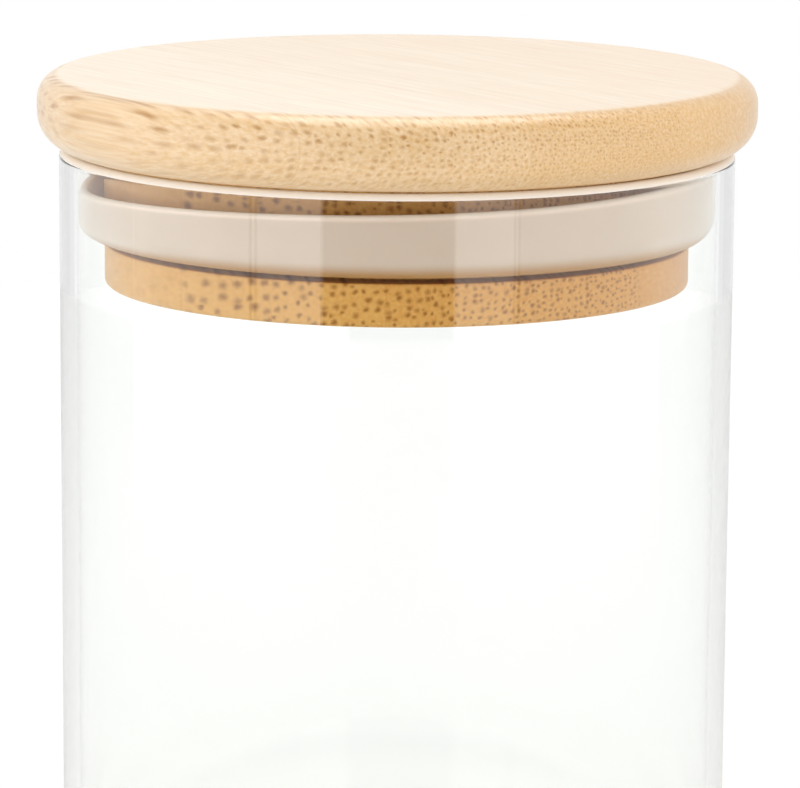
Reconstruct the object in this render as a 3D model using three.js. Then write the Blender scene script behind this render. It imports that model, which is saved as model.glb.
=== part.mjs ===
// Straight-sided glass storage jar with a push-in bamboo lid and a silicone lip seal.
// Millimetres, +Z up. The origin is the centre of the foot, on the surface that the jar stands on.

import * as THREE from "three";

// Glass body: a round, straight-walled jar with a heavy base and a ground, rounded rim.
const JAR_OUTER_DIAMETER = 94;
const JAR_HEIGHT = 120; // foot to the top of the rim
const WALL_THICKNESS = 2.4;
const BASE_THICKNESS = 5; // foot to the inside floor
const HEEL_RADIUS = 7; // outside corner between the wall and the foot
const INNER_HEEL_RADIUS = 6; // inside corner between the wall and the floor
const FOOT_RING_WIDTH = 4; // flat ring that the jar stands on
const PUNT_DEPTH = 1.2; // hollow under the base, inside the foot ring

// Lid disc: the upper bamboo board, which overhangs the glass and rests on its rim.
const LID_OVERHANG = 3;
const LID_DISC_THICKNESS = 10.2;
const LID_TOP_ROUND = 3.6;
const LID_BOTTOM_ROUND = 5;

// Lid plug: the lower bamboo board, glued under the disc and turned with a groove for the seal.
const PLUG_GAP = 3.85; // between the plug and the glass, closed by the seal's lip
const NECK_HEIGHT = 7.6; // plain stretch between the disc and the groove
const GROOVE_HEIGHT = 5.1;
const GROOVE_DEPTH = 3.4;
const FLANGE_HEIGHT = 5.9; // shoulder under the groove, which keeps the seal on
const PLUG_EDGE_ROUND = 0.8;

// Silicone seal: a root that fills the groove, and a lip that curves out and up, free of the neck,
// against the glass.
const LIP_THICKNESS = 1.3;
const LIP_TIP_DEPTH = 3.5; // from the disc's underside down to the tip of the lip
const WEB_THICKNESS = 2.8; // under the notch that lets the lip bend
const BULGE_HEIGHT = 3.8; // rounded lead-in at the foot of the lip

// Clearances.
const RIM_SEAT_GAP = 0.1; // lid disc to glass rim
const LIP_CLEARANCE = 0.2; // seal lip to glass bore
const SEAL_FIT = 0.15; // seal root to the floor and the top of its groove
const SEAL_FOOT_GAP = 0.8; // open line between the seal and the flange under it

// Fineness of the turned surfaces.
const TURN_SEGMENTS = 72;
const CURVE_DIVISIONS = 4;

// Radii and heights that follow from the sizes above. Lid heights count from the disc's underside.
const jarRadius = JAR_OUTER_DIAMETER / 2;
const boreRadius = jarRadius - WALL_THICKNESS;
const lidRadius = jarRadius + LID_OVERHANG;
const plugRadius = boreRadius - PLUG_GAP;
const grooveRadius = plugRadius - GROOVE_DEPTH;
const grooveTop = -NECK_HEIGHT;
const grooveBottom = grooveTop - GROOVE_HEIGHT;
const plugBottom = grooveBottom - FLANGE_HEIGHT;

const clearGlass = new THREE.MeshStandardMaterial({
  color: 0xeef2ef,
  roughness: 0.04,
  metalness: 0,
  transparent: true,
  opacity: 0.3,
});
const discBamboo = new THREE.MeshStandardMaterial({ color: 0xe4be86, roughness: 0.45, metalness: 0 });
const plugBamboo = new THREE.MeshStandardMaterial({ color: 0xd9ac6e, roughness: 0.55, metalness: 0 });
const clearSilicone = new THREE.MeshStandardMaterial({
  color: 0xdcd0c6,
  roughness: 0.4,
  metalness: 0,
  transparent: true,
  opacity: 0.9,
});

// A piece turned about Z. Its outline, radius against height, runs anticlockwise: out along the
// underside, up the outside, and back in along the top.
function turned(name, outline, material) {
  const geometry = new THREE.LatheGeometry(outline.getPoints(CURVE_DIVISIONS), TURN_SEGMENTS);
  geometry.rotateX(Math.PI / 2);
  const mesh = new THREE.Mesh(geometry, material);
  mesh.name = name;
  return mesh;
}

function makeGlassBody() {
  const footRadius = jarRadius - HEEL_RADIUS;
  const puntRadius = footRadius - FOOT_RING_WIDTH;
  const rimRadius = WALL_THICKNESS / 2;
  const rimCentreHeight = JAR_HEIGHT - rimRadius;
  const floorRadius = boreRadius - INNER_HEEL_RADIUS;

  const outline = new THREE.Path()
    .moveTo(0, PUNT_DEPTH)
    .quadraticCurveTo(puntRadius / 2, PUNT_DEPTH, puntRadius, 0)
    .lineTo(footRadius, 0)
    .absarc(footRadius, HEEL_RADIUS, HEEL_RADIUS, -Math.PI / 2, 0)
    .lineTo(jarRadius, rimCentreHeight)
    .absarc(boreRadius + rimRadius, rimCentreHeight, rimRadius, 0, Math.PI)
    .lineTo(boreRadius, BASE_THICKNESS + INNER_HEEL_RADIUS)
    .absarc(floorRadius, BASE_THICKNESS + INNER_HEEL_RADIUS, INNER_HEEL_RADIUS, 0, -Math.PI / 2, true)
    .lineTo(0, BASE_THICKNESS);
  return turned("glass_body", outline, clearGlass);
}

function makeLidDisc() {
  const halfThickness = LID_DISC_THICKNESS / 2;
  const topRound = Math.min(LID_TOP_ROUND, halfThickness);
  const bottomRound = Math.min(LID_BOTTOM_ROUND, halfThickness);
  const topRoundHeight = LID_DISC_THICKNESS - topRound;

  const outline = new THREE.Path()
    .moveTo(0, 0)
    .lineTo(lidRadius - bottomRound, 0)
    .absarc(lidRadius - bottomRound, bottomRound, bottomRound, -Math.PI / 2, 0)
    .lineTo(lidRadius, topRoundHeight)
    .absarc(lidRadius - topRound, topRoundHeight, topRound, 0, Math.PI / 2)
    .lineTo(0, LID_DISC_THICKNESS);
  return turned("lid_disc", outline, discBamboo);
}

function makeLidPlug() {
  const edgeRound = Math.min(PLUG_EDGE_ROUND, FLANGE_HEIGHT / 2);

  const outline = new THREE.Path()
    .moveTo(0, plugBottom)
    .lineTo(plugRadius - edgeRound, plugBottom)
    .absarc(plugRadius - edgeRound, plugBottom + edgeRound, edgeRound, -Math.PI / 2, 0)
    .lineTo(plugRadius, grooveBottom)
    .lineTo(grooveRadius, grooveBottom)
    .lineTo(grooveRadius, grooveTop)
    .lineTo(plugRadius, grooveTop)
    .lineTo(plugRadius, 0)
    .lineTo(0, 0);
  return turned("lid_plug", outline, plugBamboo);
}

function makeSiliconeSeal() {
  const innerRadius = grooveRadius + SEAL_FIT;
  const lipRadius = boreRadius - LIP_CLEARANCE;
  const lipInnerRadius = lipRadius - LIP_THICKNESS;
  const rootTop = grooveTop - SEAL_FIT;
  const rootBottom = grooveBottom + SEAL_FOOT_GAP;
  const tipRound = LIP_THICKNESS / 2;
  const tipCentreHeight = -LIP_TIP_DEPTH - tipRound;
  const notchRound = (lipInnerRadius - plugRadius) / 2;
  const webThickness = Math.min(WEB_THICKNESS, rootTop - rootBottom - notchRound - SEAL_FIT);
  const notchCentreHeight = rootBottom + webThickness + notchRound;
  const bulgeTop = rootBottom + BULGE_HEIGHT;
  const bulgeReach = lipRadius - plugRadius;

  const outline = new THREE.Path()
    .moveTo(innerRadius, rootBottom)
    .lineTo(plugRadius, rootBottom)
    .absellipse(plugRadius, bulgeTop, bulgeReach, BULGE_HEIGHT, -Math.PI / 2, 0)
    .lineTo(lipRadius, tipCentreHeight)
    .absarc(lipRadius - tipRound, tipCentreHeight, tipRound, 0, Math.PI)
    .lineTo(lipInnerRadius, notchCentreHeight)
    .absarc(plugRadius + notchRound, notchCentreHeight, notchRound, 0, Math.PI, true)
    .lineTo(plugRadius, rootTop)
    .lineTo(innerRadius, rootTop)
    .lineTo(innerRadius, rootBottom);
  return turned("silicone_seal", outline, clearSilicone);
}

const lid = new THREE.Group();
lid.add(makeLidDisc(), makeLidPlug(), makeSiliconeSeal());
lid.position.z = JAR_HEIGHT + RIM_SEAT_GAP;

const jar = new THREE.Group();
jar.add(makeGlassBody(), lid);

export default jar;
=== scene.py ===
import math

import bmesh
import bpy
from mathutils import Matrix, Vector


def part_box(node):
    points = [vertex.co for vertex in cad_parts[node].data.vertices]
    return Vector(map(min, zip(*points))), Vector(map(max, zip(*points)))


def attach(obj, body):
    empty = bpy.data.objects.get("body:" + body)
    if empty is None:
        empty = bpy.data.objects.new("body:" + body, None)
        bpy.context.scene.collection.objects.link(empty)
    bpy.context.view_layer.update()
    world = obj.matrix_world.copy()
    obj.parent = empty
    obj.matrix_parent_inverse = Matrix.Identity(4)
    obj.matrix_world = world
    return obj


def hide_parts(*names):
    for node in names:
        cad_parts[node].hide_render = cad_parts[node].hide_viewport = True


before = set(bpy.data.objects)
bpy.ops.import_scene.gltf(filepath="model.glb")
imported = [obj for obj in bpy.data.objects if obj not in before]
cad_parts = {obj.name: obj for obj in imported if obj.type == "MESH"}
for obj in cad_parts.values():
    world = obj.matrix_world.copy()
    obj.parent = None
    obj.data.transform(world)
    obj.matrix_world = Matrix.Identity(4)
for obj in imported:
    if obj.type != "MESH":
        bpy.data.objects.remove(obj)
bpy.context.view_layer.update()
scene = bpy.context.scene
MM = 0.001


# Glass body: one round, straight-sided piece of clear glass with a heavy base, hollowed underneath.
# It is blown in a mould, so its walls wave very slightly. Its rim is cut, then ground to a full round.
glass_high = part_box("glass_body")[1]
jar_radius = glass_high.x
jar_height = glass_high.z
WALL = 2.4 * MM
BASE = 5 * MM
HEEL = 7 * MM
INNER_HEEL = 6 * MM
FOOT_RING = 4 * MM
FOOT_EDGE = 1.5 * MM
PUNT = 1.2 * MM
GROUND_BAND = 0.9 * MM
GLASS_TINT = "#fdfefd"
STRAIGHT_TINT = "#fafcfb"
GLASS_DEPTH_TINT = "#d8dcd9"
GLASS_DEPTH_PER_METRE = 11.0
GLASS_IOR = 1.47
GLASS_HAZE = 0.012
WAVE_LENGTH = 28 * MM
WAVE_DEPTH = 0.015 * MM
# The rim's white carries a faint cream: a painted reflection of the bamboo above it.
RIM_WHITE_WITH_PAINTED_BAMBOO_TINT = "#fdf6ec"
RIM_GRIT = 0.2 * MM
RIM_GRIT_DEPTH = 0.02 * MM
TURN_STEPS = 256
ROUND_STEPS = 10
WELD = 0.001 * MM
CREASE = math.radians(40)


def turned(name, corners, ring=False):
    """A piece turned about Z from the corners of its outline: radius, height and rounding of each."""
    shape = bmesh.new()
    outline = [shape.verts.new((radius, 0, height)) for radius, height, rounding in corners]
    for start, end in zip(outline, outline[1:]):
        shape.edges.new((start, end))
    if ring:
        shape.edges.new((outline[-1], outline[0]))
    for corner, (radius, height, rounding) in zip(outline, corners):
        if rounding:
            bmesh.ops.bevel(
                shape, geom=[corner], offset=rounding, offset_type="OFFSET", segments=ROUND_STEPS,
                profile=0.5, affect="VERTICES", material=-1,
            )
    bmesh.ops.remove_doubles(shape, verts=shape.verts, dist=WELD)
    bmesh.ops.spin(
        shape, geom=shape.verts[:] + shape.edges[:], cent=(0, 0, 0), axis=(0, 0, 1),
        angle=math.tau, steps=TURN_STEPS, use_merge=True,
    )
    bmesh.ops.remove_doubles(shape, verts=shape.verts, dist=WELD)
    bmesh.ops.recalc_face_normals(shape, faces=shape.faces)
    for face in shape.faces:
        face.smooth = True
    mesh = bpy.data.meshes.new(name)
    shape.to_mesh(mesh)
    shape.free()
    mesh.set_sharp_from_angle(angle=CREASE)
    piece = bpy.data.objects.new(name, mesh)
    scene.collection.objects.link(piece)
    even = piece.modifiers.new("even_shading", "WEIGHTED_NORMAL")
    even.keep_sharp = True
    return piece


def linear(hex_colour):
    """An sRGB hex colour as linear RGBA."""
    channels = [int(hex_colour[start:start + 2], 16) / 255 for start in (1, 3, 5)]
    return [c / 12.92 if c <= 0.04045 else ((c + 0.055) / 1.055) ** 2.4 for c in channels] + [1]


def add(tree, kind, inputs=None, **settings):
    """Adds a shader node. Its inputs, by name or number, are values or the sockets they come from."""
    made = tree.nodes.new("ShaderNode" + kind)
    for setting, value in settings.items():
        setattr(made, setting, value)
    for key, value in (inputs or {}).items():
        if isinstance(value, bpy.types.NodeSocket):
            tree.links.new(value, made.inputs[key])
        else:
            made.inputs[key].default_value = value
    return made


def new_material(name):
    """An empty node material and its tree."""
    material = bpy.data.materials.new(name)
    material.use_nodes = True
    material.node_tree.nodes.clear()
    return material, material.node_tree


bore_radius = jar_radius - WALL
punt_radius = jar_radius - HEEL - FOOT_RING
glass_body = turned("clear_glass_body", [
    (0, PUNT, 0),
    (punt_radius / 2, PUNT, punt_radius / 2 - FOOT_EDGE),
    (punt_radius, 0, FOOT_EDGE),
    (jar_radius, 0, HEEL),
    (jar_radius, jar_height, WALL / 2),
    (bore_radius, jar_height, WALL / 2),
    (bore_radius, BASE, INNER_HEEL),
    (0, BASE, 0),
])

# Borosilicate glass, blown: clear and mirror smooth, a trace of green where it is thick, with the slow
# waves of a blown wall. Light from lamps and from matt surfaces goes straight through it.
glass, tree = new_material("blown_borosilicate_glass")
place = add(tree, "TexCoord").outputs["Object"]
waves = add(tree, "TexNoise", {"Vector": place, "Scale": 1 / WAVE_LENGTH, "Detail": 1.0}).outputs["Fac"]
haze = add(tree, "MapRange", {"Value": waves, "To Min": 0.0, "To Max": GLASS_HAZE}).outputs["Result"]
wavy = add(tree, "Bump", {"Height": waves, "Strength": 1.0, "Distance": WAVE_DEPTH}).outputs["Normal"]
clear = add(tree, "BsdfPrincipled", {
    "Base Color": linear(GLASS_TINT), "Roughness": haze, "IOR": GLASS_IOR,
    "Transmission Weight": 1.0, "Normal": wavy,
}).outputs[0]
path = add(tree, "LightPath").outputs
straight = add(tree, "BsdfTransparent", {"Color": linear(STRAIGHT_TINT)}).outputs[0]
surface = add(tree, "MixShader", {0: path["Is Shadow Ray"], 1: clear, 2: straight}).outputs[0]
surface = add(tree, "MixShader", {0: path["Is Diffuse Ray"], 1: surface, 2: straight}).outputs[0]
depth = add(tree, "VolumeAbsorption", {
    "Color": linear(GLASS_DEPTH_TINT), "Density": GLASS_DEPTH_PER_METRE,
}).outputs[0]
add(tree, "OutputMaterial", {"Surface": surface, "Volume": depth})
glass_body.data.materials.append(glass)

# The ground rim: satin glass, whitish because its fine grit scatters the light that falls on it. Its faint
# cream tint is a painted reflection of the bamboo just above and behind it.
rim, tree = new_material("ground_glass_rim")
place = add(tree, "TexCoord").outputs["Object"]
grit = add(tree, "TexNoise", {"Vector": place, "Scale": 1 / RIM_GRIT, "Detail": 2.0}).outputs["Fac"]
satin = add(tree, "MapRange", {"Value": grit, "To Min": 0.4, "To Max": 0.6}).outputs["Result"]
frosted = add(tree, "Bump", {"Height": grit, "Strength": 0.3, "Distance": RIM_GRIT_DEPTH}).outputs["Normal"]
shader = add(tree, "BsdfPrincipled", {
    "Base Color": linear(RIM_WHITE_WITH_PAINTED_BAMBOO_TINT), "Roughness": satin, "IOR": GLASS_IOR, "Transmission Weight": 0.1,
    "Normal": frosted,
})
add(tree, "OutputMaterial", {"Surface": shader.outputs[0]})
glass_body.data.materials.append(rim)
for face in glass_body.data.polygons:
    if face.center.z > jar_height - GROUND_BAND:
        face.material_index = 1

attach(glass_body, "jar")
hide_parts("glass_body")


# Lid plug: the lower bamboo board of the lid, turned to drop into the glass. A groove round its side
# takes the seal, and the flange under the groove keeps the seal on.
plug_low, plug_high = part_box("lid_plug")
plug_radius = plug_high.x
plug_top = plug_high.z
NECK = 7.6 * MM
GROOVE_HEIGHT = 5.1 * MM
GROOVE_DEPTH = 3.4 * MM
PLUG_EDGE = 0.8 * MM
GROOVE_EDGE = 0.25 * MM
PORE_DEPTH = 0.03 * MM

groove_top = plug_top - NECK
groove_bottom = groove_top - GROOVE_HEIGHT
groove_radius = plug_radius - GROOVE_DEPTH
lid_plug = turned("bamboo_lid_plug", [
    (0, plug_low.z, 0),
    (plug_radius, plug_low.z, PLUG_EDGE),
    (plug_radius, groove_bottom, GROOVE_EDGE),
    (groove_radius, groove_bottom, GROOVE_EDGE),
    (groove_radius, groove_top, GROOVE_EDGE),
    (plug_radius, groove_top, GROOVE_EDGE),
    (plug_radius, plug_top, 0),
    (0, plug_top, 0),
])

# Bamboo grain: its sizes are in millimetres, and its patterns in repeats for each millimetre across the
# fibres, along them and up.
STRIP_WIDTH = 25
GLUE_LINE = 0.12
GRAIN_REACH = 50
FIBRE_DRIFT = 2.0
FIBRE_RAGGEDNESS = 0.5
FACE_DEPTH = 0.25
DOTS_FADE = 1
DRIFT_PER_MM = (0.05, 0.02, 0.05)
RAGGED_PER_MM = (1.6, 0.1, 1.6)
STREAKS_PER_MM = (2.2, 0.06, 2.2)
NOISE_MIDDLE = (0.5, 0.5, 0.5)


def bamboo(
    name, pale, tan, fibre, board, turn, strips_from, dots_from, dots_to, coarse, fine, faint, low, lacquer,
):
    """Laminated bamboo under satin lacquer. Its fibres lie flat, turned from Y by an angle, so they show
    as dots where they meet the rim end on, and as streaks where they run along it and on the faces of
    the board, between two heights. Distances across the fibres are in millimetres. The dots are from
    coarse to fine across the strips, the palest has a share, faint, of the darkest, and they fade to a
    share, low, at the foot of the board."""
    material, tree = new_material(name)
    metres = add(tree, "TexCoord").outputs["Object"]
    place = add(tree, "Mapping", {
        "Vector": metres, "Rotation": (0, 0, -turn), "Scale": (1 / MM, 1 / MM, 1 / MM),
    }).outputs[0]
    sideways = add(tree, "SeparateXYZ", {0: place}).outputs["X"]
    height = add(tree, "SeparateXYZ", {0: place}).outputs["Z"]
    foot = board[0] / MM
    middle = (board[0] + board[1]) / 2 / MM
    half = (board[1] - board[0]) / 2 / MM

    # Fibres wander by up to a millimetre along their length, and their outlines are uneven.
    slow = add(tree, "Mapping", {"Vector": place, "Scale": DRIFT_PER_MM}).outputs[0]
    drift = add(tree, "TexNoise", {"Vector": slow, "Scale": 1.0, "Detail": 1.0}).outputs["Color"]
    drift = add(tree, "VectorMath", {0: drift, 1: NOISE_MIDDLE}, operation="SUBTRACT").outputs[0]
    drift = add(tree, "VectorMath", {0: drift, 3: FIBRE_DRIFT}, operation="SCALE").outputs[0]
    wandering = add(tree, "VectorMath", {0: place, 1: drift}, operation="ADD").outputs[0]
    ragged = add(tree, "Mapping", {"Vector": wandering, "Scale": RAGGED_PER_MM}).outputs[0]
    ragged = add(tree, "TexNoise", {"Vector": ragged, "Scale": 1.0, "Detail": 2.0}).outputs["Color"]
    ragged = add(tree, "VectorMath", {0: ragged, 1: NOISE_MIDDLE}, operation="SUBTRACT").outputs[0]
    ragged = add(tree, "VectorMath", {0: ragged, 3: FIBRE_RAGGEDNESS}, operation="SCALE").outputs[0]
    uneven = add(tree, "VectorMath", {0: wandering, 1: ragged}, operation="ADD").outputs[0]
    across = add(tree, "SeparateXYZ", {0: uneven}).outputs

    # Strips glued side by side, each with its own tone, and a thin glue line between them.
    shifted = add(tree, "Math", {0: sideways, 1: strips_from}, operation="SUBTRACT").outputs[0]
    strips = add(tree, "Math", {0: shifted, 1: STRIP_WIDTH}, operation="DIVIDE").outputs[0]
    strip = add(tree, "Math", {0: strips}, operation="FLOOR").outputs[0]
    tone = add(tree, "TexWhiteNoise", {"W": strip}, noise_dimensions="1D").outputs["Value"]
    edge = add(tree, "Math", {0: strips, 1: 0.5}, operation="PINGPONG").outputs[0]
    seam = add(tree, "MapRange", {
        "Value": edge, "From Min": 0.0, "From Max": GLUE_LINE / STRIP_WIDTH, "To Min": 0.2, "To Max": 0.0,
    }).outputs["Result"]

    # Vascular bundles: one dot in each cell, of uneven size. Across the board they crowd closer by a
    # steady share for each millimetre.
    growth = math.log(coarse / fine) / (2 * GRAIN_REACH)
    crowded = add(tree, "Math", {0: across["X"], 1: growth}, operation="MULTIPLY").outputs[0]
    crowded = add(tree, "Math", {0: crowded}, operation="EXPONENT").outputs[0]
    per_mm = add(tree, "Math", {0: crowded, 1: math.sqrt(coarse * fine)}, operation="DIVIDE").outputs[0]
    side = add(tree, "Math", {0: per_mm, 1: growth}, operation="DIVIDE").outputs[0]
    rise = add(tree, "Math", {0: across["Z"], 1: middle}, operation="SUBTRACT").outputs[0]
    rise = add(tree, "Math", {0: rise, 1: per_mm}, operation="MULTIPLY").outputs[0]
    section = add(tree, "CombineXYZ", {"X": side, "Y": rise}).outputs[0]
    bundles = add(tree, "TexVoronoi", {
        "Vector": section, "Scale": 1.0, "Randomness": 0.65,
    }, voronoi_dimensions="2D").outputs
    luck = add(tree, "SeparateColor", {0: bundles["Color"]}).outputs
    reach = add(tree, "MapRange", {"Value": luck[0], "To Min": 0.3, "To Max": 0.58}).outputs["Result"]
    depth = add(tree, "MapRange", {"Value": luck[1], "To Min": faint, "To Max": 1.0}).outputs["Result"]
    dots = add(tree, "MapRange", {
        "Value": bundles["Distance"], "From Min": 0.0, "From Max": reach, "To Min": depth, "To Max": 0.0,
    }, interpolation_type="SMOOTHSTEP").outputs["Result"]

    # They are plain to see end on, faint along the board's two faces and in the plain strips at its sides.
    off_middle = add(tree, "Math", {0: height, 1: middle}, operation="SUBTRACT").outputs[0]
    off_middle = add(tree, "Math", {0: off_middle}, operation="ABSOLUTE").outputs[0]
    end_on = add(tree, "MapRange", {
        "Value": off_middle, "From Min": half - FACE_DEPTH, "From Max": half, "To Min": 1.0, "To Max": 0.25,
    }, interpolation_type="SMOOTHSTEP").outputs["Result"]
    after = add(tree, "MapRange", {
        "Value": sideways, "From Min": dots_from - DOTS_FADE, "From Max": dots_from + DOTS_FADE,
        "To Min": 0.2, "To Max": 1.0,
    }).outputs["Result"]
    before = add(tree, "MapRange", {
        "Value": sideways, "From Min": dots_to - DOTS_FADE, "From Max": dots_to + DOTS_FADE,
        "To Min": 1.0, "To Max": 0.25,
    }).outputs["Result"]
    lower = add(tree, "MapRange", {
        "Value": height, "From Min": foot, "From Max": middle + half / 2, "To Min": low, "To Max": 1.0,
    }).outputs["Result"]
    strength = add(tree, "Math", {0: after, 1: before}, operation="MULTIPLY").outputs[0]
    strength = add(tree, "Math", {0: strength, 1: lower}, operation="MULTIPLY").outputs[0]
    strength = add(tree, "Math", {0: strength, 1: end_on}, operation="MULTIPLY").outputs[0]
    cover = add(tree, "Math", {0: dots, 1: strength}, operation="MULTIPLY").outputs[0]

    # Pale pith between the bundles, streaked along the fibres, and deeper where it is cut end on. This
    # deepening is partly the grain's own and partly painted light: it leaves the board's faces pale as if
    # washed out by the overhead light.
    long = add(tree, "Mapping", {"Vector": wandering, "Scale": STREAKS_PER_MM}).outputs[0]
    streaks = add(tree, "TexNoise", {
        "Vector": long, "Scale": 1.0, "Detail": 3.0, "Roughness": 0.6,
    }).outputs["Fac"]
    shade = add(tree, "Math", {0: streaks, 1: 0.85, 2: -0.5}, operation="MULTIPLY_ADD").outputs[0]
    # Partly painted light: the rim is deepened to tan and the faces are left pale, for the overhead light
    # that washes out the top face.
    shade = add(tree, "Math", {0: end_on, 1: 0.65, 2: shade}, operation="MULTIPLY_ADD").outputs[0]
    shade = add(tree, "Math", {0: tone, 1: 0.06, 2: shade}, operation="MULTIPLY_ADD").outputs[0]
    deeper = add(tree, "MapRange", {
        "Value": sideways, "From Min": -GRAIN_REACH, "From Max": GRAIN_REACH,
        "To Min": -0.05, "To Max": 0.3,
    }).outputs["Result"]
    shade = add(tree, "Math", {0: shade, 1: deeper}, operation="ADD", use_clamp=True).outputs[0]
    pith = add(tree, "Mix", {0: shade, 6: linear(pale), 7: linear(tan)}, data_type="RGBA").outputs[2]
    dark = add(tree, "Math", {0: cover, 1: seam}, operation="MAXIMUM").outputs[0]
    wood = add(tree, "Mix", {0: dark, 6: pith, 7: linear(fibre)}, data_type="RGBA").outputs[2]

    # Lacquer: satin, over pores that still show a little where bundles and streaks sink in.
    relief = add(tree, "Math", {0: streaks, 1: cover}, operation="SUBTRACT").outputs[0]
    bump = add(tree, "Bump", {"Height": relief, "Strength": 0.4, "Distance": PORE_DEPTH}).outputs["Normal"]
    roughness = add(tree, "MapRange", {"Value": streaks, "To Min": 0.38, "To Max": 0.55}).outputs["Result"]
    shader = add(tree, "BsdfPrincipled", {
        "Base Color": wood, "Roughness": roughness, "Normal": bump, "IOR": 1.5,
        "Specular IOR Level": lacquer / 2, "Coat Weight": lacquer, "Coat Roughness": 0.28, "Coat IOR": 1.5,
    })
    add(tree, "OutputMaterial", {"Surface": shader.outputs[0]})
    return material


# The plug's bamboo: thinly lacquered, a warm tan with large dark dots that grow finer to the right.
lid_plug.data.materials.append(bamboo(
    "laminated_bamboo_plug_board", pale="#f2c676", tan="#d4913e", fibre="#985906",
    board=(plug_low.z, plug_high.z), turn=math.radians(8), strips_from=-57, dots_from=-32, dots_to=28,
    coarse=2.6, fine=0.48, faint=0.65, low=1.0, lacquer=0.3,
))
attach(lid_plug, "lid")
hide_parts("lid_plug")


# Silicone seal: one moulded ring of translucent silicone, stretched over the flange into the groove.
# Its lip curves out and up against the glass, and leans: it is squeezed down at the left, up at the right.
seal_low, seal_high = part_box("silicone_seal")
lip_radius = seal_high.x
SEAL_FIT = 0.15 * MM
LIP = 1.3 * MM
LIP_LEAD_IN = 3.55 * MM
WEB = 2.8 * MM
NOTCH_FLAT = 0.02 * MM
SEAL_EDGE = 0.3 * MM
LIP_LIFT = 0.4 * MM
LIP_LEAN = 1.9 * MM
LEAN_CURVE = 2
MILKY = "#dfcbbc"
MILKY_DEEP = "#d6c1b0"
# Painted highlight along the top edge of the lip.
PAINTED_TIP_HIGHLIGHT = "#ffe6d8"
# Painted light where the surface turns away from the camera.
PAINTED_GRAZING_LIGHT = "#f6ebe0"
# Painted shade, with a painted reflection of the groove's brown, for the seal's foot.
PAINTED_FOOT_SHADE = "#b47a14"
CLOUD_SIZE = 9 * MM
MOULD_GRIT = 0.25 * MM
MOULD_GRIT_DEPTH = 0.01 * MM
LIGHT_REACH = 1.2 * MM

seal_inner_radius = groove_radius + SEAL_FIT
root_top = groove_top - SEAL_FIT
notch_floor = seal_low.z + WEB
notch_round = (lip_radius - LIP - plug_radius) / 2 - NOTCH_FLAT
seal = turned("silicone_lip_seal", [
    (seal_inner_radius, seal_low.z, SEAL_EDGE),
    (lip_radius, seal_low.z, LIP_LEAD_IN),
    (lip_radius, seal_high.z, LIP / 2),
    (lip_radius - LIP, seal_high.z, LIP / 2),
    (lip_radius - LIP, notch_floor, notch_round),
    (plug_radius, notch_floor, notch_round),
    (plug_radius, root_top, SEAL_EDGE),
    (seal_inner_radius, root_top, SEAL_EDGE),
], ring=True)
up_lip = seal.data.attributes.new("up_lip", "FLOAT", "POINT")
for vertex, share in zip(seal.data.vertices, up_lip.data):
    reach = math.hypot(vertex.co.x, vertex.co.y)
    lip_share = min(max((reach - plug_radius) / (lip_radius - LIP - plug_radius), 0.0), 1.0)
    share.value = (vertex.co.z - seal_low.z) / (seal_high.z - seal_low.z)
    to_right = math.sinh(LEAN_CURVE * vertex.co.x / lip_radius) / math.sinh(LEAN_CURVE)
    vertex.co.z += (LIP_LIFT + LIP_LEAN * to_right) * lip_share * share.value

# Moulded silicone, translucent: milky and satin. It is painted paler along the thin tip of its lip, a
# painted highlight, and where it turns away, painted light, and its rounded foot is painted dark brown,
# painted shade with a painted reflection of the groove behind it.
silicone, tree = new_material("moulded_translucent_silicone")
place = add(tree, "TexCoord").outputs["Object"]
cloud = add(tree, "TexNoise", {"Vector": place, "Scale": 1 / CLOUD_SIZE, "Detail": 2.0}).outputs["Fac"]
grit = add(tree, "TexNoise", {"Vector": place, "Scale": 1 / MOULD_GRIT, "Detail": 1.0}).outputs["Fac"]
body = add(tree, "Mix", {0: cloud, 6: linear(MILKY), 7: linear(MILKY_DEEP)}, data_type="RGBA").outputs[2]
rise = add(tree, "Attribute", attribute_name="up_lip").outputs["Fac"]
# Painted highlight: the lip's top edge is mixed towards a pale cream.
tip_highlight_mask = add(tree, "MapRange", {
    "Value": rise, "From Min": 0.88, "From Max": 0.97, "To Min": 0.0, "To Max": 0.8,
}, interpolation_type="SMOOTHSTEP").outputs["Result"]
body = add(tree, "Mix", {0: tip_highlight_mask, 6: body, 7: linear(PAINTED_TIP_HIGHLIGHT)}, data_type="RGBA").outputs[2]
# Painted light: surfaces seen edge on are mixed towards a paler colour.
turned_away = add(tree, "LayerWeight", {"Blend": 0.5}).outputs["Facing"]
grazing_light_mask = add(tree, "MapRange", {
    "Value": turned_away, "From Min": 0.45, "From Max": 1.0, "To Min": 0.0, "To Max": 0.7,
}).outputs["Result"]
body = add(tree, "Mix", {0: grazing_light_mask, 6: body, 7: linear(PAINTED_GRAZING_LIGHT)}, data_type="RGBA").outputs[2]
# Painted shade: the foot of the seal is mixed towards a dark brown, for the shaded groove under it.
foot = add(tree, "MapRange", {
    "Value": rise, "From Min": 0.02, "From Max": 0.28, "To Min": 0.85, "To Max": 0.0,
}, interpolation_type="SMOOTHSTEP").outputs["Result"]
body = add(tree, "Mix", {0: foot, 6: body, 7: linear(PAINTED_FOOT_SHADE)}, data_type="RGBA").outputs[2]
satin = add(tree, "MapRange", {"Value": cloud, "To Min": 0.38, "To Max": 0.5}).outputs["Result"]
matt = add(tree, "Bump", {"Height": grit, "Strength": 0.15, "Distance": MOULD_GRIT_DEPTH}).outputs["Normal"]
shader = add(tree, "BsdfPrincipled", {
    "Base Color": body, "Roughness": satin, "Normal": matt, "IOR": 1.41,
    "Subsurface Weight": 1.0, "Subsurface Radius": (1.0, 1.0, 1.0), "Subsurface Scale": LIGHT_REACH,
})
add(tree, "OutputMaterial", {"Surface": shader.outputs[0]})
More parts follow.
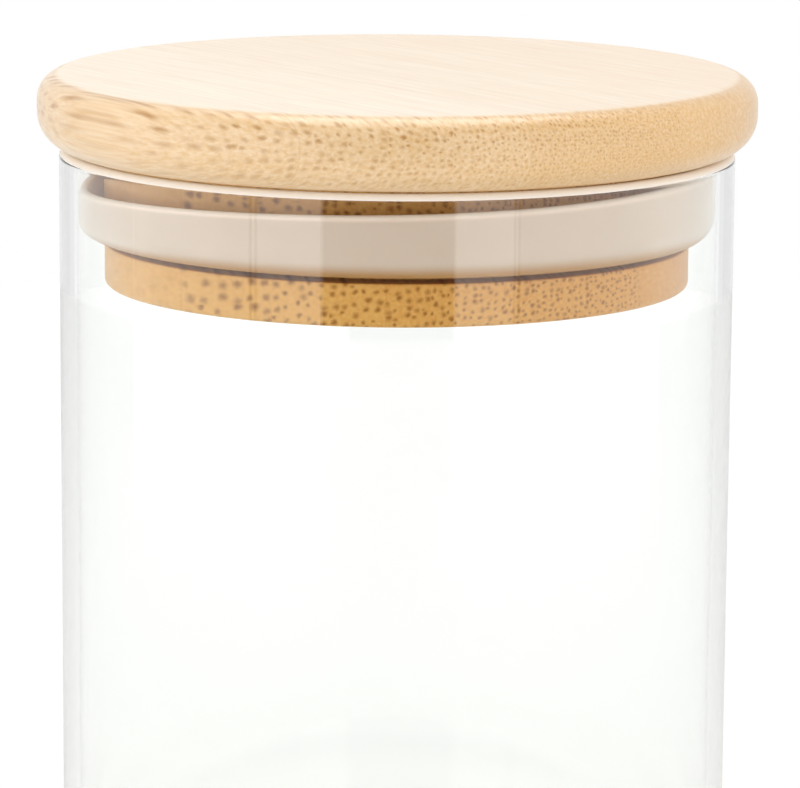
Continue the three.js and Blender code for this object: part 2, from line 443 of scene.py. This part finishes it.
seal.data.materials.append(silicone)
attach(seal, "seal")
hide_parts("silicone_seal")


# Lid disc: the upper bamboo board, glued on the plug. Its rim overhangs the glass as a finger grip,
# with a tight round at the top and a wide one underneath.
disc_low, disc_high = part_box("lid_disc")
disc_radius = disc_high.x
DISC_TOP_ROUND = 3.6 * MM
DISC_BOTTOM_ROUND = 5 * MM

lid_disc = turned("bamboo_lid_disc", [
    (0, disc_low.z, 0),
    (disc_radius, disc_low.z, DISC_BOTTOM_ROUND),
    (disc_radius, disc_high.z, DISC_TOP_ROUND),
    (0, disc_high.z, 0),
])

# The disc's bamboo: paler, under a fuller lacquer, with dots that fade down the rim and end at the right.
# Its near-white pale is partly painted light, for the top face that the overhead light washes out.
lid_disc.data.materials.append(bamboo(
    "laminated_bamboo_disc_board", pale="#fbe8cc", tan="#d4a04a", fibre="#b47e34",
    board=(disc_low.z, disc_high.z), turn=math.radians(36), strips_from=-63.6, dots_from=-62,
    dots_to=11.4, coarse=1.5, fine=0.165, faint=0.3, low=0.35, lacquer=1.0,
))
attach(lid_disc, "lid")
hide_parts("lid_disc")


# Floor: a round matt white table top that the jar stands on, which takes the jar's shadow. It is lifted to
# white for the camera and through the glass, more so away from the jar, and less so where the glass mirrors
# it, so that the edges of the glass show.
FLOOR_RADIUS = 0.6
FLOOR_WHITE = "#ebebea"
LIFT_FROM = 0.08
LIFT_NEAR = 0.18
LIFT_FAR = 0.46
MIRRORED_LIFT = 0.6
HALF_BOUNCE = 0.5

floor_shape = bmesh.new()
bmesh.ops.create_circle(floor_shape, cap_ends=True, radius=FLOOR_RADIUS, segments=96)
floor_mesh = bpy.data.meshes.new("table_top")
floor_shape.to_mesh(floor_mesh)
floor_shape.free()
floor = bpy.data.objects.new("table_top", floor_mesh)
scene.collection.objects.link(floor)

# Matt white paint on a board: even and without shine.
table, tree = new_material("matt_white_table")
path = add(tree, "LightPath").outputs
matt_white = add(tree, "BsdfDiffuse", {"Color": linear(FLOOR_WHITE)}).outputs[0]
place = add(tree, "TexCoord").outputs["Object"]
distance = add(tree, "VectorMath", {0: place}, operation="LENGTH").outputs["Value"]
glow = add(tree, "MapRange", {
    "Value": distance, "From Min": LIFT_FROM, "From Max": FLOOR_RADIUS,
    "To Min": LIFT_NEAR, "To Max": LIFT_FAR,
}).outputs["Result"]
bounced = add(tree, "Math", {0: path["Glossy Depth"], 1: HALF_BOUNCE}, operation="GREATER_THAN").outputs[0]
share = add(tree, "MapRange", {"Value": bounced, "To Min": 1.0, "To Max": MIRRORED_LIFT}).outputs["Result"]
glow = add(tree, "Math", {0: glow, 1: share}, operation="MULTIPLY").outputs[0]
lift = add(tree, "Emission", {"Color": linear("#ffffff"), "Strength": glow}).outputs[0]
lifted = add(tree, "AddShader", {0: matt_white, 1: lift}).outputs[0]
seen = add(tree, "Math", {
    0: path["Is Camera Ray"], 1: path["Is Glossy Ray"],
}, operation="MAXIMUM").outputs[0]
seen = add(tree, "Math", {0: seen, 1: path["Is Transmission Ray"]}, operation="MAXIMUM").outputs[0]
surface = add(tree, "MixShader", {0: seen, 1: matt_white, 2: lifted}).outputs[0]
add(tree, "OutputMaterial", {"Surface": surface})
floor.data.materials.append(table)


# Studio: an upright softbox in front and one at the side, both left and right of the camera, with a thin
# dark gap between them, and a wide one overhead. The room is white to the camera and through the glass.
SOFTBOX_DISTANCE = 0.42
SOFTBOX_HEIGHT = 0.5
OVERHEAD_PLACE = (0, 0.15, 1.0)
OVERHEAD_SIZE = 0.7
OVERHEAD_GLOW = 2.65
ROOM_LIGHT = 0.45


def softbox(name, aim, place, width, height, glow):
    """A rectangular area lamp at place that faces aim, as bright as white paper where glow is 1. The
    camera doesn't see it."""
    lamp = bpy.data.lights.new(name, "AREA")
    lamp.shape = "RECTANGLE"
    lamp.size = width
    lamp.size_y = height
    lamp.energy = glow * math.pi * width * height
    stand = bpy.data.objects.new(name, lamp)
    stand.location = place
    stand.rotation_euler = (Vector(aim) - Vector(place)).to_track_quat("-Z", "Y").to_euler()
    stand.visible_camera = False
    scene.collection.objects.link(stand)


# The edges of each upright softbox are angles, in degrees, from the camera round to the right.
for name, inner_edge, outer_edge, glow in (
    ("left_front_softbox", -23.8, -46.4, 1.4), ("left_side_softbox", -47.7, -95, 1.25),
    ("right_front_softbox", 18.6, 38.6, 1.45), ("right_side_softbox", 39.7, 95, 1.0),
):
    turn = math.radians((inner_edge + outer_edge) / 2)
    width = 2 * SOFTBOX_DISTANCE * math.tan(math.radians(abs(outer_edge - inner_edge) / 2))
    middle = SOFTBOX_HEIGHT / 2
    spot = (SOFTBOX_DISTANCE * math.sin(turn), -SOFTBOX_DISTANCE * math.cos(turn), middle)
    softbox(name, (0, 0, middle), spot, width, SOFTBOX_HEIGHT, glow)
softbox("overhead_softbox", (0, 0, jar_height), OVERHEAD_PLACE, OVERHEAD_SIZE, OVERHEAD_SIZE, OVERHEAD_GLOW)

# What the glass mirrors of the room, by how far back it lies, from -1 behind the camera to 1 behind the
# jar: dark behind the camera, bright from the sides on, and a ring of faint grey on the back wall, which
# draws the edges of the glass.
DARK_END = -0.75
SIDES = 0.16
BACK = 0.6
RING_MIDDLE = 0.885
RING_HALF = 0.055
DARK = 0.1
DIM = 0.5
BRIGHT = 1.6
WHITE = 1.0
RING_GREY = 0.85

room = bpy.data.worlds.new("white_studio")
scene.world = room
room.use_nodes = True
tree = room.node_tree
tree.nodes.clear()
path = add(tree, "LightPath").outputs
look = add(tree, "TexCoord").outputs["Generated"]
back = add(tree, "SeparateXYZ", {0: look}).outputs["Y"]
front_wall = add(tree, "MapRange", {
    "Value": back, "From Min": DARK_END, "From Max": SIDES, "To Min": DARK, "To Max": DIM,
}).outputs["Result"]
back_wall = add(tree, "MapRange", {
    "Value": back, "From Min": SIDES, "From Max": BACK, "To Min": BRIGHT, "To Max": WHITE,
}).outputs["Result"]
past = add(tree, "Math", {0: back, 1: SIDES}, operation="GREATER_THAN").outputs[0]
walls = add(tree, "Mix", {0: past, 2: front_wall, 3: back_wall}, data_type="FLOAT").outputs[0]
ring = add(tree, "Math", {0: back, 1: RING_MIDDLE, 2: RING_HALF}, operation="COMPARE").outputs[0]
walls = add(tree, "Mix", {0: ring, 2: walls, 3: RING_GREY}, data_type="FLOAT").outputs[0]
direct = add(tree, "Math", {0: path["Diffuse Depth"], 1: HALF_BOUNCE}, operation="LESS_THAN").outputs[0]
through = add(tree, "Math", {0: path["Is Transmission Ray"], 1: direct}, operation="MULTIPLY").outputs[0]
seen = add(tree, "Math", {0: path["Is Camera Ray"], 1: through}, operation="MAXIMUM").outputs[0]
room_light = add(tree, "Mix", {0: seen, 2: ROOM_LIGHT, 3: WHITE}, data_type="FLOAT").outputs[0]
bounced = add(tree, "Math", {0: path["Glossy Depth"], 1: HALF_BOUNCE}, operation="GREATER_THAN").outputs[0]
mirrored = add(tree, "Math", {0: bounced, 1: direct}, operation="MULTIPLY").outputs[0]
shown = add(tree, "Mix", {0: mirrored, 2: room_light, 3: walls}, data_type="FLOAT").outputs[0]
backdrop = add(tree, "Background", {"Color": linear("#ffffff"), "Strength": shown})
add(tree, "OutputWorld", {"Surface": backdrop.outputs[0]})


# Camera: a long lens, a little above the lid, aimed below it so that the jar runs out of the picture.
CAMERA_DISTANCE = 632.4 * MM
CAMERA_RISE = math.radians(7.808)
CAMERA_PITCH = math.radians(10.954)
CAMERA_YAW = math.radians(0.057)
CAMERA_ROLL = math.radians(0.39)
FOCAL_PIXELS = 4534
FRAME_PIXELS = 800

lens = bpy.data.cameras.new("camera")
lens.sensor_width = 36
lens.lens = lens.sensor_width * FOCAL_PIXELS / FRAME_PIXELS
lens.clip_start = 0.01
camera = bpy.data.objects.new("camera", lens)
camera.matrix_world = (
    Matrix.Translation((
        0,
        -CAMERA_DISTANCE * math.cos(CAMERA_RISE),
        disc_low.z + CAMERA_DISTANCE * math.sin(CAMERA_RISE),
    ))
    @ Matrix.Rotation(-CAMERA_YAW, 4, "Z")
    @ Matrix.Rotation(math.pi / 2 - CAMERA_PITCH, 4, "X")
    @ Matrix.Rotation(CAMERA_ROLL, 4, "Z")
)
scene.collection.objects.link(camera)
scene.camera = camera
scene.view_settings.view_transform = "Standard"
